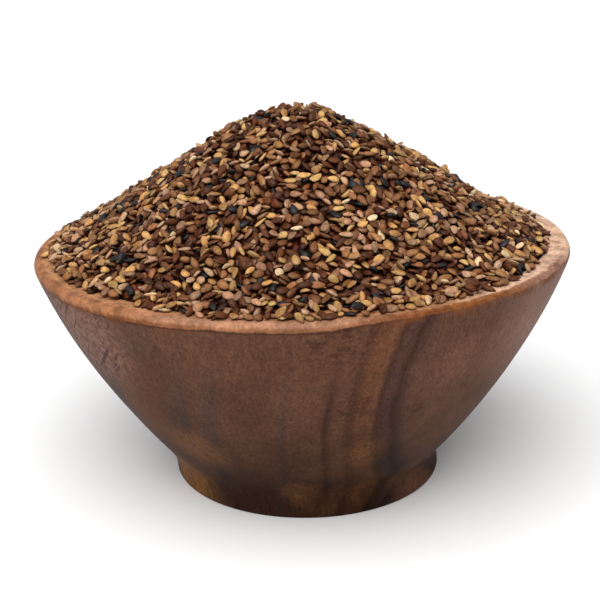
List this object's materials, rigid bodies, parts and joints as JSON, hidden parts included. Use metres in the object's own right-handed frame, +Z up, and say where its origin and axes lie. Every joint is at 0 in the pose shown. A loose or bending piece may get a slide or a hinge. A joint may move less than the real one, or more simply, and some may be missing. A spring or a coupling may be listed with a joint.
{
  "type": "bowl of sesame seeds",
  "caption": "Small turned wooden bowl on a low foot, heaped with mixed brown, golden and black sesame seeds in an uneven cone that spills a little over the rim.",
  "frame": {"origin": "on the table, under the middle of the rim", "axes": "+Z up, +X to the right and +Y away from the viewer as in the picture"},
  "size_m": [0.127, 0.127, 0.0904],
  "materials": {
    "bowl_wood": "oiled dark brown hardwood with vertical streaks, satin, paler and redder on the rim",
    "seed_hulls": "dry seed hulls, satin, mixed mid brown, golden, dark brown, black and cream"
  },
  "bodies": {
    "root": {"bowl": "bowl_wood", "sesame_seeds": "seed_hulls"}
  },
  "joints": []
}
